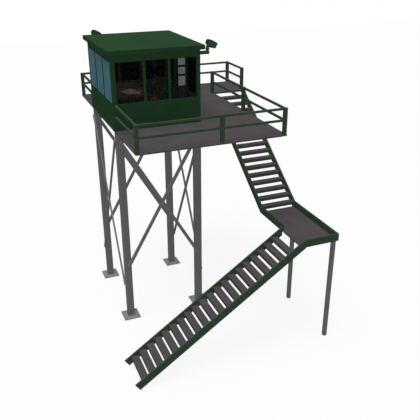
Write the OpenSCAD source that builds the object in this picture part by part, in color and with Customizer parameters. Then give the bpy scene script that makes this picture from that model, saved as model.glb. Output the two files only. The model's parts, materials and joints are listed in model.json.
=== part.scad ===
// Steel watchtower: a glazed cabin on a railed deck, four braced legs and an outside stair in two flights.
// Origin: centre of the front left foot plate's underside. +Z up, +X along the cabin front, +Y to its back.

/* [Legs] */
// Outside width of a square leg
leg_w = 250; // [200:5:300]
// Wall thickness of a leg tube
leg_wall = 10; // [6:1:16]
// Distance between leg centres across the front
leg_span_x = 2866; // [2600:2:2950]
// Distance between leg centres from front to back
leg_span_y = 3385; // [3100:5:3500]
// Side of a square foot plate
foot_w = 636; // [500:4:800]
// Thickness of a foot plate
foot_t = 40; // [20:1:60]
// Width of a bracing bar
brace_w = 126; // [60:1:140]
// Thickness of a bracing bar
brace_t = 50; // [12:1:60]
// Drop of the bracing's top ends under the deck beams on the front and the back, at the legs' centre lines
brace_drop_front = 330; // [200:5:600]
// Drop of the top ends on the left and the right
brace_drop_side = 255; // [200:5:600]
// Height of the lower ends on the front and the back
brace_low_front = 2255; // [1800:5:2600]
// Height of the lower ends on the left and the right
brace_low_side = 1420; // [1100:5:2000]

/* [Deck] */
// Height of the deck's top above the ground
deck_top = 7685; // [7200:5:8200]
// Thickness of the deck plate
deck_t = 45; // [30:1:60]
// Deck size across the front
deck_w = 5174; // [5000:2:5400]
// Deck size from front to back
deck_d = 8070; // [7900:5:8300]
// How far the deck runs past the left legs' centre line
deck_left_over = 217; // [150:1:300]
// How far the deck runs past the front legs' centre line
deck_front_over = 2887; // [2700:1:3000]
// Width of the stair head that stands out at the back right
head_w = 1456; // [1300:2:1600]
// Depth of the stair head
head_d = 1760; // [1500:5:2000]
// Depth of the beams under the deck
beam_h = 100; // [80:1:120]
// Width of the beams under the deck
beam_w = 60; // [40:1:90]

/* [Cabin] */
// Cabin size across the front
cabin_w = 3095; // [2900:5:3200]
// Cabin size from front to back
cabin_d = 3493; // [3300:1:3600]
// Deck left open in front of the cabin
cabin_setback = 2493; // [2300:1:2600]
// Height from the deck to the underside of the roof
wall_h = 2535; // [2400:5:2700]
// Thickness of the cabin walls
wall_t = 120; // [90:5:150]
// Height of the lower wall under the windows
sill_h = 898; // [800:1:1000]
// Height of the window heads above the deck
head_h = 2265; // [2150:5:2350]
// Width of the cabin's corner posts
corner_w = 140; // [120:2:180]
// Width of a window mullion on the front and the back
mullion_w = 85; // [60:1:110]
// Clear width of the middle pane on the front and the back
middle_pane = 783; // [600:1:900]
// Width of a window mullion on the left
side_mullion_w = 60; // [40:1:90]
// Clear width of the doorway
door_w = 1080; // [900:5:1200]
// Width of the posts beside the doorway
door_post_w = 130; // [90:5:160]
// How far the roof runs past the walls
roof_over = 116; // [60:1:200]
// Thickness of the roof slab
roof_t = 111; // [80:1:150]
// Thickness of the window glass
glass_t = 10; // [6:1:16]

/* [Railing] */
// Height of the railing above the deck
rail_h = 900; // [850:5:1100]
// Height of the middle rail's top above the deck
mid_h = 512; // [400:1:600]
// Side of a square railing post
rail_post = 122; // [80:1:140]
// Side of a square rail bar
rail_bar = 72; // [40:1:80]
// How far the railing stands in from the deck's edge
rail_inset = 12; // [5:1:40]

/* [Stair] */
// Height of the landing plate's top above the ground
landing_top = 4160; // [3900:5:4400]
// Thickness of the landing plate
landing_t = 44; // [30:1:60]
// Height of the landing's edge above its plate
curb_rise = 232; // [150:1:300]
// Plan length of the upper flight
upper_run = 4711; // [4500:1:4900]
// Number of treads in the upper flight
upper_treads_n = 16; // [14:1:18]
// Number of treads in the lower flight
lower_treads_n = 20; // [18:1:22]
// Rise between two treads of the lower flight
lower_rise = 190; // [180:1:200]
// Drop of the lower flight for each millimetre of its plan length
lower_slope = 0.682; // [0.6:0.002:0.75]
// Plan depth of a tread
tread_d = 250; // [220:2:280]
// Thickness of a tread
tread_t = 120; // [60:1:120]
// Height of a tread's front edge under the top of the stringers
tread_sink = 35; // [20:1:50]
// Thickness of a stringer and of the landing's edges
stringer_t = 60; // [40:1:80]
// Depth of a stringer, measured upright
stringer_h = 331; // [300:1:380]
// Landing length along the upper flight
landing_d = 3043; // [2900:1:3200]
// Width of the lower flight over its stringers
flight_w = 1396; // [1250:2:1450]
// Side of a landing post
landing_post = 136; // [100:1:150]
// Distance from the landing's front edge to the centre of the nearer post
landing_post_in = 255; // [150:5:400]

/* [Furniture] */
// Height of the table
table_h = 850; // [800:5:890]
// Table size across the cabin
table_w = 1420; // [1200:5:1500]
// Table size along the cabin
table_d = 2360; // [2000:5:2400]
// Thickness of the table top
table_t = 55; // [30:1:70]
// Side of a table leg
table_leg = 80; // [60:1:100]
// Height of the chair back
chair_h = 1290; // [1100:5:1400]
// Height of the chair seat
chair_seat_h = 490; // [430:5:550]
// Width of the chair
chair_w = 750; // [600:5:800]
// Depth of the chair
chair_d = 560; // [450:5:600]
// Side of a chair post
chair_post = 50; // [35:1:60]

/* [Floodlights] */
// Width of a lamp head
lamp_w = 280; // [220:5:300]
// Length of a lamp head along its beam
lamp_l = 320; // [280:5:340]
// Height of a lamp head
lamp_h = 195; // [150:5:200]
// Downward tilt of the lamp heads in degrees
lamp_tilt = 26; // [15:1:35]
// Side of the square arm that carries a lamp
arm_w = 105; // [80:1:120]
// Side of the square neck that stands on the arm's end
neck_w = 96; // [70:1:100]
// Height of the arms' undersides above the deck
arm_z = 2326; // [2275:1:2340]
// Height of a lamp's pivot above the deck
lamp_pivot_z = 2545; // [2520:5:2600]

/* [Hidden] */
$fn = 32;
seat_gap = 0.3;

// leg centres, then deck and cabin edges
leg_x = [0, leg_span_x];
leg_y = [0, leg_span_y];
deck_x0 = -deck_left_over;
deck_y0 = -deck_front_over;
deck_x1 = deck_x0 + deck_w;
deck_y1 = deck_y0 + deck_d;
head_x1 = deck_x1 + head_w;
head_y0 = deck_y1 - head_d;
deck_under = deck_top - deck_t;
beam_under = deck_under - beam_h;
brace_top_front = beam_under - brace_drop_front;
brace_top_side = beam_under - brace_drop_side;
cab_x0 = deck_x0;
cab_x1 = cab_x0 + cabin_w;
cab_y0 = deck_y0 + cabin_setback;
cab_y1 = cab_y0 + cabin_d;
door_y0 = (cab_y0 + cab_y1 - door_w)/2;
door_y1 = door_y0 + door_w;
sill_z = deck_top + sill_h;
win_z = deck_top + head_h;
roof_z = deck_top + wall_h;
win_h = head_h - sill_h;

// stair: the landing plate runs on under the upper flight's foot, the lower flight bends off the landing's edge
landing_tuck = 50;
bend_out = 130;
far_post_in = 70;
stair_x0 = deck_x1;
stair_x1 = head_x1;
curb_top = landing_top + curb_rise;
curb_under = landing_top - landing_t;
curb_y = head_y0 - upper_run;
upper_slope = (deck_top - curb_top)/upper_run;
curb_h = curb_top - curb_under;
curb_under_y = curb_y + (stringer_h - curb_h)/upper_slope;
landing_y1 = curb_y + landing_tuck;
landing_y0 = landing_y1 - landing_d;
bend_x = stair_x0 + bend_out;
upper_rise = (deck_top - landing_top)/(upper_treads_n + 1);
flight_y1 = landing_y0 + flight_w;
lower_angle = atan(lower_slope);
foot_x = bend_x - (curb_top - stringer_h)/lower_slope;
foot_cut = stringer_h*cos(lower_angle);

// lamp pivots: a pin through the neck, held by two ears under the head
pivot_r = 10;
pivot_clear = 0.1;
pivot_drop = 65;
ear_t = 10;
ear_gap = 4;
ear_r = 40;
pin_past = 6;

module steel() { color([0.33, 0.33, 0.34]) children(); }
module green() { color([0.15, 0.25, 0.17]) children(); }
module plate_grey() { color([0.31, 0.29, 0.31]) children(); }
module brown() { color([0.33, 0.22, 0.17]) children(); }

// box from its low corner to its high corner
module box(a, b) { translate(a) cube(b - a); }

// ---- legs and bracing ----

module leg(i, j) {
    steel() translate([leg_x[i], leg_y[j], foot_t])
        linear_extrude(beam_under - foot_t) difference() {
            square(leg_w, center = true);
            square(leg_w - 2*leg_wall, center = true);
        }
}

module foot_plates() {
    color([0.5, 0.5, 0.51]) for (x = leg_x, y = leg_y)
        translate([x - foot_w/2, y - foot_w/2, 0]) cube([foot_w, foot_w, foot_t]);
}

// bar in the plane y = 0 between two legs' centre lines; dir 1 climbs towards +X, and grow makes it thicker
module brace_bar(half, top, low, dir, grow) {
    tilt = atan2(top - low, 2*half);
    translate([0, -brace_t/2, (low + top)/2]) rotate([0, -dir*tilt, 0])
        cube([2*half/cos(tilt), brace_t + grow, brace_w + grow], center = true);
}

// crossed pair on the legs' outer faces: one bar runs through, the other is cut to meet it from both sides
module brace(half, top, low) {
    steel() {
        brace_bar(half, top, low, 1, 0);
        difference() {
            brace_bar(half, top, low, -1, 0);
            brace_bar(half, top, low, 1, 2*seat_gap);
        }
    }
}
module brace_across() { brace(leg_span_x/2, brace_top_front, brace_low_front); }
module brace_along() { brace(leg_span_y/2, brace_top_side, brace_low_side); }

module brace_front() { translate([leg_span_x/2, -leg_w/2, 0]) brace_across(); }
module brace_back() { translate([leg_span_x/2, leg_span_y + leg_w/2, 0]) rotate(180) brace_across(); }
module brace_right() { translate([leg_span_x + leg_w/2, leg_span_y/2, 0]) rotate(90) brace_along(); }
module brace_left() { translate([-leg_w/2, leg_span_y/2, 0]) rotate(-90) brace_along(); }

// ---- deck ----

module deck_plate() {
    plate_grey() box([deck_x0, deck_y0, deck_under], [deck_x1, deck_y1, deck_top]);
}
module stair_head_plate() {
    plate_grey() box([deck_x1 + seat_gap, head_y0, deck_under], [head_x1, deck_y1, deck_top]);
}

// three long bearers, with cross beams between them and out under the stair head
bearer_x = [leg_x[0], leg_x[1], deck_x1 - beam_w];
edge_in = 250;
module deck_beams() {
    steel() {
        for (x = bearer_x)
            box([x - beam_w/2, deck_y0 + edge_in, beam_under], [x + beam_w/2, deck_y1 - edge_in, deck_under]);
        for (i = [0, 1], y = [deck_y0 + edge_in, leg_y[0], leg_span_y/2, leg_y[1], deck_y1 - edge_in - beam_w])
            box([bearer_x[i] + beam_w/2 + seat_gap, y, beam_under],
                [bearer_x[i + 1] - beam_w/2 - seat_gap, y + beam_w, deck_under]);
        for (y = [head_y0 + edge_in, deck_y1 - edge_in - beam_w])
            box([bearer_x[2] + beam_w/2 + seat_gap, y, beam_under],
                [head_x1 - beam_w, y + beam_w, deck_under]);
    }
}

// ---- cabin ----

module wall_box(x0, y0, x1, y1, z0, z1) { green() box([x0, y0, z0], [x1, y1, z1]); }

module front_wall() {
    wall_box(cab_x0 + corner_w, cab_y0, cab_x1 - corner_w, cab_y0 + wall_t, deck_top, sill_z);
}
module back_wall() {
    wall_box(cab_x0 + corner_w, cab_y1 - wall_t, cab_x1 - corner_w, cab_y1, deck_top, sill_z);
}
module left_wall() {
    wall_box(cab_x0, cab_y0 + wall_t, cab_x0 + wall_t, cab_y1 - wall_t, deck_top, sill_z);
}
module right_wall() {
    wall_box(cab_x1 - wall_t, cab_y0 + wall_t, cab_x1, door_y0 - door_post_w, deck_top, sill_z);
    wall_box(cab_x1 - wall_t, door_y1 + door_post_w, cab_x1, cab_y1 - wall_t, deck_top, sill_z);
}

module cabin_posts() {
    for (x = [cab_x0, cab_x1 - corner_w], y = [cab_y0, cab_y1 - wall_t])
        wall_box(x, y, x + corner_w, y + wall_t, deck_top, win_z);
    for (y = [door_y0 - door_post_w, door_y1])
        wall_box(cab_x1 - wall_t, y, cab_x1, y + door_post_w, deck_top, win_z);
}

// panes on the front and the back: two equal outer ones beside the middle one
outer_pane = (cabin_w - 2*corner_w - 2*mullion_w - middle_pane)/2;
long_x = [cab_x0 + corner_w, cab_x0 + corner_w + outer_pane + mullion_w, cab_x1 - corner_w - outer_pane];
long_pane = [outer_pane, middle_pane, outer_pane];
side_pane = (cabin_d - 2*wall_t - 2*side_mullion_w)/3;
module window_mullions() {
    for (i = [1, 2], y = [cab_y0, cab_y1 - wall_t])
        wall_box(long_x[i] - mullion_w, y, long_x[i], y + wall_t, sill_z, win_z);
    for (i = [1, 2]) {
        y = cab_y0 + wall_t + i*side_pane + (i - 1)*side_mullion_w;
        wall_box(cab_x0, y, cab_x0 + wall_t, y + side_mullion_w, sill_z, win_z);
    }
}

module headers_long() {
    for (y = [cab_y0, cab_y1 - wall_t])
        wall_box(cab_x0, y, cab_x1, y + wall_t, win_z, roof_z);
}
module headers_side() {
    for (x = [cab_x0, cab_x1 - wall_t])
        wall_box(x, cab_y0 + wall_t, x + wall_t, cab_y1 - wall_t, win_z, roof_z);
}

module roof() {
    green() box([cab_x0 - roof_over, cab_y0 - roof_over, roof_z],
                [cab_x1 + roof_over, cab_y1 + roof_over, roof_z + roof_t]);
}

// one pane standing on the sill; the glass sits in from the outer face, on the left almost flush with it
glass_in = 45;
left_glass_in = 5;
module pane(size_x, size_y) {
    color([0.25, 0.35, 0.4, 0.5]) cube([size_x, size_y, win_h]);
}
module glass_front() {
    for (i = [0 : 2]) translate([long_x[i], cab_y0 + glass_in, sill_z]) pane(long_pane[i], glass_t);
}
module glass_back() {
    for (i = [0 : 2]) translate([long_x[i], cab_y1 - glass_in - glass_t, sill_z]) pane(long_pane[i], glass_t);
}
module glass_left() {
    for (i = [0 : 2])
        translate([cab_x0 + left_glass_in, cab_y0 + wall_t + i*(side_pane + side_mullion_w), sill_z])
            pane(glass_t, side_pane);
}
right_pane = door_y0 - door_post_w - cab_y0 - wall_t;
module glass_right() {
    for (y = [cab_y0 + wall_t, door_y1 + door_post_w])
        translate([cab_x1 - glass_in - glass_t, y, sill_z]) pane(glass_t, right_pane);
}

// ---- railing ----

// upright post centred at a place along +X
module rail_upright(place) {
    green() translate([place - rail_post/2, -rail_post/2, 0]) cube([rail_post, rail_post, rail_h]);
}

// top and middle bar from one place to another along +X
module rail_bars(from, to) {
    green() for (z = [rail_h, mid_h])
        translate([from, -rail_bar/2, z - rail_bar]) cube([to - from, rail_bar, rail_bar]);
}

// posts at the given places, with bars fitted between neighbours
module rail_run(places) {
    edge = rail_post/2 + seat_gap;
    for (p = places) rail_upright(p);
    for (i = [0 : len(places) - 2]) rail_bars(places[i] + edge, places[i + 1] - edge);
}

rail_off = rail_inset + rail_post/2;
rail_x0 = deck_x0 + rail_off;
rail_x1 = deck_x1 - rail_off;
rail_y0 = deck_y0 + rail_off;
rail_y1 = deck_y1 - rail_off;
head_rail_x = head_x1 - rail_off;
gate_y = head_y0 - rail_post/2;
front_mid = 2870;
right_mid = 3240;
back_mid = 3190;
head_post_y = head_y0 + 173;

module rail_front() {
    translate([0, rail_y0, deck_top]) rail_run([rail_x0, deck_x0 + front_mid, rail_x1]);
}
module rail_right() {
    translate([rail_x1, 0, deck_top]) rotate(90) {
        rail_bars(rail_y0 + rail_post/2, deck_y0 + right_mid - rail_post/2 - seat_gap);
        rail_run([deck_y0 + right_mid, gate_y]);
    }
}
module rail_stair_head() {
    translate([head_rail_x, 0, deck_top]) rotate(90) {
        rail_upright(head_post_y);
        rail_bars(head_post_y + rail_post/2 + seat_gap, rail_y1 - rail_post/2);
    }
}
module rail_back() {
    translate([0, rail_y1, deck_top]) rail_run([rail_x0, deck_x0 + back_mid, head_rail_x]);
}
module rail_left() {
    translate([rail_x0, 0, deck_top]) rotate(90) {
        rail_bars(rail_y0 + rail_post/2, cab_y0);
        rail_bars(cab_y1, rail_y1 - rail_post/2);
    }
}

// ---- stair ----

// plate standing along Y between x = 0 and its thickness, from an outline of [y, z] points
module side_plate(outline) {
    rotate([90, 0, 90]) linear_extrude(stringer_t) polygon(outline);
}

upper_outline = [
    [curb_y, curb_top], [head_y0, deck_top], [head_y0, deck_under],
    [head_y0 + edge_in, deck_under], [head_y0 + edge_in, beam_under],
    [head_y0 + (beam_under - deck_top + stringer_h)/upper_slope, beam_under],
    [curb_under_y, curb_under], [curb_y, curb_under]
];

module upper_stringers() {
    green() for (x = [stair_x0, stair_x1 - stringer_t]) translate([x, 0, 0]) side_plate(upper_outline);
}

module upper_treads() {
    plate_grey() for (i = [1 : upper_treads_n]) {
        z = deck_top - i*upper_rise;
        y = head_y0 - (deck_top - z - tread_sink)/upper_slope;
        box([stair_x0 + stringer_t, y, z - tread_t], [stair_x1 - stringer_t, y + tread_d, z]);
    }
}

module landing_plate() {
    plate_grey() difference() {
        box([stair_x0, landing_y0 + stringer_t, curb_under], [stair_x1 - stringer_t, landing_y1, landing_top]);
        box([stair_x0 - 1, flight_y1 - stringer_t, curb_under - 1],
            [stair_x0 + stringer_t, landing_y1 + 1, landing_top + 1]);
    }
}

// plate standing along X between y = 0 and its thickness, from an outline of [x, z] points
module front_plate(outline) {
    translate([0, stringer_t, 0]) rotate([90, 0, 0]) linear_extrude(stringer_t) polygon(outline);
}

// raised edges on the three closed sides; the front one meets the lower stringer in a mitre
mitre = [[bend_x, curb_top], [bend_x + (stringer_h - curb_h)/lower_slope, curb_under]];
module landing_curbs() {
    green() {
        box([stair_x1 - stringer_t, landing_y0, curb_under], [stair_x1, curb_y, curb_top]);
        box([stair_x0, flight_y1 - stringer_t, curb_under], [stair_x0 + stringer_t, curb_y, curb_top]);
        translate([0, landing_y0, 0]) front_plate([
            mitre[0], mitre[1],
            [stair_x1 - stringer_t - seat_gap, curb_under], [stair_x1 - stringer_t - seat_gap, curb_top]
        ]);
    }
}

// square posts centred under the landing's outer edge
module landing_posts() {
    steel() for (y = [landing_y0 + landing_post_in, landing_y1 - far_post_in])
        translate([stair_x1 - (stringer_t + landing_post)/2, y - landing_post/2, 0])
            cube([landing_post, landing_post, curb_under]);
}

// lower stringers run down to the ground towards -X, where their ends are cut square to the slope
function lower_top(x) = curb_top - (bend_x - x)*lower_slope;
lower_end = [
    [foot_x - foot_cut*sin(lower_angle), foot_cut*cos(lower_angle)], [foot_x, 0]
];

module lower_stringers() {
    green() {
        translate([0, landing_y0, 0]) front_plate(concat(lower_end, [mitre[1], mitre[0]]));
        translate([0, flight_y1 - stringer_t, 0]) front_plate(concat(lower_end, [
            [stair_x0 - seat_gap, lower_top(stair_x0 - seat_gap) - stringer_h],
            [stair_x0 - seat_gap, lower_top(stair_x0 - seat_gap)]
        ]));
    }
}

module lower_treads() {
    plate_grey() for (i = [1 : lower_treads_n]) {
        z = landing_top - i*lower_rise;
        x = bend_x - (curb_top - z - tread_sink)/lower_slope;
        box([x, landing_y0 + stringer_t, z - tread_t], [x + tread_d, flight_y1 - stringer_t, z]);
    }
}

// ---- furniture ----

table_right = 1655;
table_wall_gap = 40;
leg_margin = 60;
table_x1 = cab_x0 + table_right;
table_x0 = table_x1 - table_w;
table_y1 = cab_y1 - wall_t - table_wall_gap;
table_y0 = table_y1 - table_d;

module table_top() {
    brown() box([table_x0, table_y0, deck_top + table_h - table_t], [table_x1, table_y1, deck_top + table_h]);
}

module table_legs() {
    brown() for (x = [table_x0 + leg_margin, table_x1 - leg_margin - table_leg],
                 y = [table_y0 + leg_margin, table_y1 - leg_margin - table_leg])
        box([x, y, deck_top], [x + table_leg, y + table_leg, deck_top + table_h - table_t]);
}

// two sheets on the table top, placed from its front right corner, the second one lying across the first
sheet = [530, 350, 2];
module paper(across, along, turn, lift) {
    color([0.75, 0.75, 0.73])
        translate([table_x1 - across, table_y0 + along, deck_top + table_h + lift]) rotate(turn) cube(sheet);
}
module papers() {
    paper(739, 712, 30, 0);
    paper(846, 581, -20, sheet[2] + seat_gap);
}

chair_table_gap = 10;
chair_along = 727;
chair_x0 = table_x1 + chair_table_gap;
chair_x1 = chair_x0 + chair_d;
chair_y0 = table_y0 + chair_along;
chair_y1 = chair_y0 + chair_w;
seat_t = 40;
seat_lip = 5;

module chair_posts() {
    brown() {
        for (y = [chair_y0, chair_y1 - chair_post]) {
            box([chair_x1 - chair_post, y, deck_top], [chair_x1, y + chair_post, deck_top + chair_h]);
            box([chair_x0, y, deck_top], [chair_x0 + chair_post, y + chair_post, deck_top + chair_seat_h - seat_t]);
        }
    }
}

module chair_seat() {
    brown() box([chair_x0 - seat_lip, chair_y0, deck_top + chair_seat_h - seat_t],
                [chair_x1 - chair_post, chair_y1, deck_top + chair_seat_h]);
}

slat_h = 85;
slat_t = 22;
slats_n = 4;
slat_pitch = 160;
slat_drop = 20;
module chair_slats() {
    x = chair_x1 - (chair_post + slat_t)/2;
    brown() for (i = [0 : slats_n - 1]) {
        z = deck_top + chair_h - slat_drop - i*slat_pitch;
        box([x, chair_y0 + chair_post, z - slat_h], [x + slat_t, chair_y1 - chair_post, z]);
    }
}

// ---- floodlights ----

// pivots outside the cabin's right and back faces, measured in from the front and the left face
lamp_out = 288;
front_lamp_in = 67;
back_lamp_in = 275;
front_lamp = [cab_x1 + lamp_out, cab_y0 + front_lamp_in, deck_top + lamp_pivot_z];
back_lamp = [cab_x0 + back_lamp_in, cab_y1 + lamp_out, deck_top + lamp_pivot_z];
arm_top = deck_top + arm_z + arm_w;

// upright neck with a rounded top, bored for the pivot pin
module lamp_neck(at) {
    translate(at) rotate([90, 0, 0]) difference() {
        union() {
            translate([-neck_w/2, arm_top - arm_w - at[2], -neck_w/2])
                cube([neck_w, at[2] - arm_top + arm_w, neck_w]);
            cylinder(r = neck_w/2, h = neck_w, center = true);
        }
        cylinder(r = pivot_r + pivot_clear, h = neck_w + 2, center = true);
    }
}

module lamp_brackets() {
    green() {
        union() {
            box([cab_x1, front_lamp[1] - arm_w/2, arm_top - arm_w],
                [front_lamp[0] + neck_w/2, front_lamp[1] + arm_w/2, arm_top]);
            lamp_neck(front_lamp);
        }
        union() {
            box([back_lamp[0] - arm_w/2, cab_y1, arm_top - arm_w],
                [back_lamp[0] + arm_w/2, back_lamp[1] + neck_w/2, arm_top]);
            lamp_neck(back_lamp);
        }
    }
}

// housing with chamfered edges and a tray of control gear under it, clear of the neck at every tilt;
// the head's centre lies above and ahead of its pivot
lens_in = 10;
rim = 30;
lens_t = 8;
reflector_d = 150;
head_ahead = 71;
back_chamfer = 50;
front_chamfer = 22;
tray_ahead = 62;
tray_slope = 28;
tray_drop = 38;
module lamp_housing() {
    l = lamp_l/2;
    h = lamp_h/2;
    tray_x = tray_ahead - head_ahead;
    translate([0, lamp_w/2, 0]) rotate([90, 0, 0]) linear_extrude(lamp_w)
        polygon([[-l, back_chamfer - h], [back_chamfer - l, -h], [tray_x, -h],
                 [tray_x + tray_slope, -h - tray_drop], [l - front_chamfer, -h], [l, front_chamfer - h],
                 [l, h - front_chamfer], [l - front_chamfer, h], [back_chamfer - l, h], [-l, h - back_chamfer]]);
}

// flared hollow: one trapezium seen from the side crossed with one seen from above
module reflector_hollow() {
    mouth = lamp_l/2 - lens_in - lens_t;
    back = mouth - reflector_d;
    h = lamp_h/2 - 1.5*rim;
    w = lamp_w/2 - 1.5*rim;
    intersection() {
        translate([0, lamp_w/2, 0]) rotate([90, 0, 0]) linear_extrude(lamp_w)
            polygon([[back, -h/3], [mouth + 1, -h], [mouth + 1, h], [back, h/3]]);
        translate([0, 0, -lamp_h/2]) linear_extrude(lamp_h)
            polygon([[back, -w/3], [mouth + 1, -w], [mouth + 1, w], [back, w/3]]);
    }
}

// ear under the head beside the neck, on the side s
module lamp_ear(s) {
    inner = neck_w/2 + ear_gap;
    translate([0, s > 0 ? inner + ear_t : -inner, 0]) rotate([90, 0, 0]) linear_extrude(ear_t) {
        circle(ear_r);
        translate([-ear_r, 0]) square([2*ear_r, pivot_drop + 1]);
    }
}

module head_centre() { translate([head_ahead, 0, pivot_drop + lamp_h/2]) children(); }

module lamp_head_shape() {
    rotate([0, lamp_tilt, 0]) {
        difference() {
            head_centre() lamp_housing();
            head_centre() translate([lamp_l/2 - lens_in - lens_t, -lamp_w/2 + rim, -lamp_h/2 + rim])
                cube([lens_in + lens_t + 1, lamp_w - 2*rim, lamp_h - 2*rim]);
            head_centre() reflector_hollow();
        }
        for (s = [-1, 1]) lamp_ear(s);
    }
    rotate([90, 0, 0]) cylinder(r = pivot_r, h = neck_w + 2*(ear_gap + ear_t + pin_past), center = true);
}
module lamp_lens_shape() {
    rotate([0, lamp_tilt, 0]) head_centre()
        translate([lamp_l/2 - lens_in - lens_t, -lamp_w/2 + rim + seat_gap, -lamp_h/2 + rim + seat_gap])
            cube([lens_t, lamp_w - 2*(rim + seat_gap), lamp_h - 2*(rim + seat_gap)]);
}
module lamp_head_front() { green() translate(front_lamp) lamp_head_shape(); }
module lamp_head_back() { green() translate(back_lamp) lamp_head_shape(); }
module lamp_lens_front() { color([0.9, 0.85, 0.7]) translate(front_lamp) lamp_lens_shape(); }
module lamp_lens_back() { color([0.9, 0.85, 0.7]) translate(back_lamp) lamp_lens_shape(); }

leg(0, 0);  // leg_front_left
leg(1, 0);  // leg_front_right
leg(0, 1);  // leg_back_left
leg(1, 1);  // leg_back_right
foot_plates();
brace_front();
brace_back();
brace_left();
brace_right();
deck_plate();
stair_head_plate();
deck_beams();
front_wall();
left_wall();
back_wall();
right_wall();
cabin_posts();
window_mullions();
headers_long();
headers_side();
roof();
glass_front();
glass_left();
glass_back();
glass_right();
rail_front();
rail_right();
rail_stair_head();
rail_back();
rail_left();
upper_stringers();
upper_treads();
landing_plate();
landing_curbs();
landing_posts();
lower_stringers();
lower_treads();
table_top();
table_legs();
papers();
chair_posts();
chair_seat();
chair_slats();
lamp_brackets();
lamp_head_front();
lamp_lens_front();
lamp_head_back();
lamp_lens_back();
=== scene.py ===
# Steel watchtower: railed deck on four braced legs, glazed cabin, outside stair, two floodlights.
# Metres, +Z up, origin on the ground under the front left leg, +X along the cabin's front.
import bpy
import bmesh
import json
import math
import numpy as np
from mathutils import Matrix, Vector

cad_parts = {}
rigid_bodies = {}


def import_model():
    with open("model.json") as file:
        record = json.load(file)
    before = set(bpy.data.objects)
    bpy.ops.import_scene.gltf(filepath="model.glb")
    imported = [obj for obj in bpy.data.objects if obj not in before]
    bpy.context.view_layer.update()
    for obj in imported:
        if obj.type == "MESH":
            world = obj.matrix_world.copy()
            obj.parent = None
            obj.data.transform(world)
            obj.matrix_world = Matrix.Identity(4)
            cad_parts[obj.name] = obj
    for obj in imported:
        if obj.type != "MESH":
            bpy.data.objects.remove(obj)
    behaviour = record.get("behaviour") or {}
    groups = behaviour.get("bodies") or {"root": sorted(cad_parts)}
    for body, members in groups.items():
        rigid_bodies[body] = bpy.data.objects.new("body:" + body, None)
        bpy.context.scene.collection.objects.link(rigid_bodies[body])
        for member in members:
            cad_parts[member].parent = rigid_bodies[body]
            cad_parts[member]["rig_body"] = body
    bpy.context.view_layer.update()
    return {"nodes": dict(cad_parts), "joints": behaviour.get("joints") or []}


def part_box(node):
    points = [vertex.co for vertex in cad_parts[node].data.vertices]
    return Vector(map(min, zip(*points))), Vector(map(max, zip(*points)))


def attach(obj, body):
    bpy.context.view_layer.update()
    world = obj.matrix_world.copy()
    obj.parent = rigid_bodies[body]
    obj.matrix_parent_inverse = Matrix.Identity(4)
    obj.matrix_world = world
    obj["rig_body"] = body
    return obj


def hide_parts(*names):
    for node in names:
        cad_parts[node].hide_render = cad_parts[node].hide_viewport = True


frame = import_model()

nodes = frame["nodes"]


def boxOf(name):  # lowest and highest corner of a node as arrays
    low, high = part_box(name)
    return np.array(low), np.array(high)


# the cabin's room: up to the front and left walls, the right and back panes, the deck and the roof
roomLow = np.array((boxOf("left_wall")[1][0], boxOf("front_wall")[1][1], boxOf("deck_plate")[1][2]))
roomHigh = np.array((boxOf("glass_right")[0][0], boxOf("glass_back")[0][1], boxOf("roof")[0][2]))


# sRGB to linear: c/12.92 up to 0.04045, otherwise ((c + 0.055)/1.055) to the power 2.4
def linearOf(hexColour):
    parts = [int(hexColour[i:i + 2], 16)/255 for i in (1, 3, 5)]
    return tuple(c/12.92 if c <= 0.04045 else ((c + 0.055)/1.055)**2.4 for c in parts) + (1.0,)


# an input is a value, or a (node, output) pair to link
def addNode(tree, kind, settings=None, inputs=None):
    node = tree.nodes.new("ShaderNode" + kind)
    for key, value in (settings or {}).items():
        setattr(node, key, value)
    for key, value in (inputs or {}).items():
        if isinstance(value, tuple) and isinstance(value[0], bpy.types.Node):
            tree.links.new(value[0].outputs[value[1]], node.inputs[key])
        else:
            node.inputs[key].default_value = value
    return node


def newMaterial(name):
    material = bpy.data.materials.new(name)
    material.use_nodes = True
    material.node_tree.nodes.clear()
    return material, material.node_tree


def closeMaterial(tree, shader):
    addNode(tree, "OutputMaterial", inputs={"Surface": (shader, 0)})


# 1 within the cabin's room and on its faces, 0 elsewhere: |coordinate - middle| <= half + 2 mm on every axis.
# It marks where the walls take their lighter colour, which is painted light.
def insideRoom(tree, place):
    middle, half = (roomLow + roomHigh)/2, (roomHigh - roomLow)/2 + 0.002
    split = addNode(tree, "SeparateXYZ", inputs={"Vector": (place, "Object")})
    within = [addNode(tree, "Math", {"operation": "COMPARE"},
                      {0: (split, axis), 1: float(middle[k]), 2: float(half[k])})
              for k, axis in enumerate("XYZ")]
    both = addNode(tree, "Math", {"operation": "MULTIPLY"}, {0: (within[0], 0), 1: (within[1], 0)})
    return addNode(tree, "Math", {"operation": "MULTIPLY"}, {0: (both, 0), 1: (within[2], 0)})
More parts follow.
